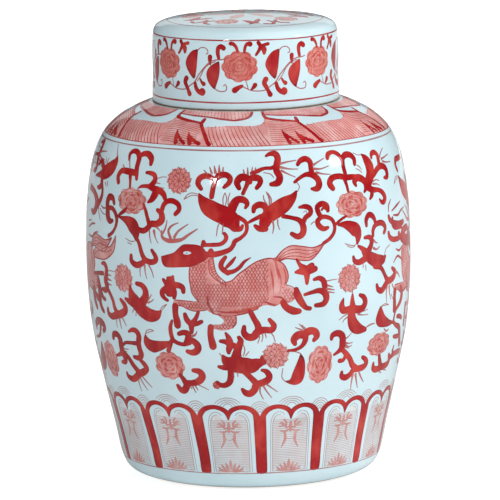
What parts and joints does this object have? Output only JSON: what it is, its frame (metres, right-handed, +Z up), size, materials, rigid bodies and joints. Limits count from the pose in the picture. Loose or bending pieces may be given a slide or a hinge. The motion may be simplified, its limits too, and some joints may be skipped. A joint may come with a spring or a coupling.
{
  "type": "ginger jar",
  "caption": "Porcelain ginger jar with a swelling body, a short neck and a tall cap lid that lifts off; painted with scrolling flowers and a running horned beast.",
  "frame": {"origin": "middle of the foot ring, on the surface that the jar stands on", "axes": "+Z up along the axis of both pieces; -Y is the front, where the beast runs towards -X"},
  "size_m": [0.2512, 0.2512, 0.356],
  "materials": {
    "white_glaze": "gloss",
    "red_enamel": "gloss",
    "pink_wash": "gloss"
  },
  "bodies": {
    "jar": {"jar": "white_glaze"},
    "lid": {"lid": "white_glaze"}
  },
  "joints": [
    {"name": "lid_lift", "type": "slide", "parent": "jar", "child": "lid", "axis": [0, 0, 1], "range_m": [0, 0.12]}
  ]
}
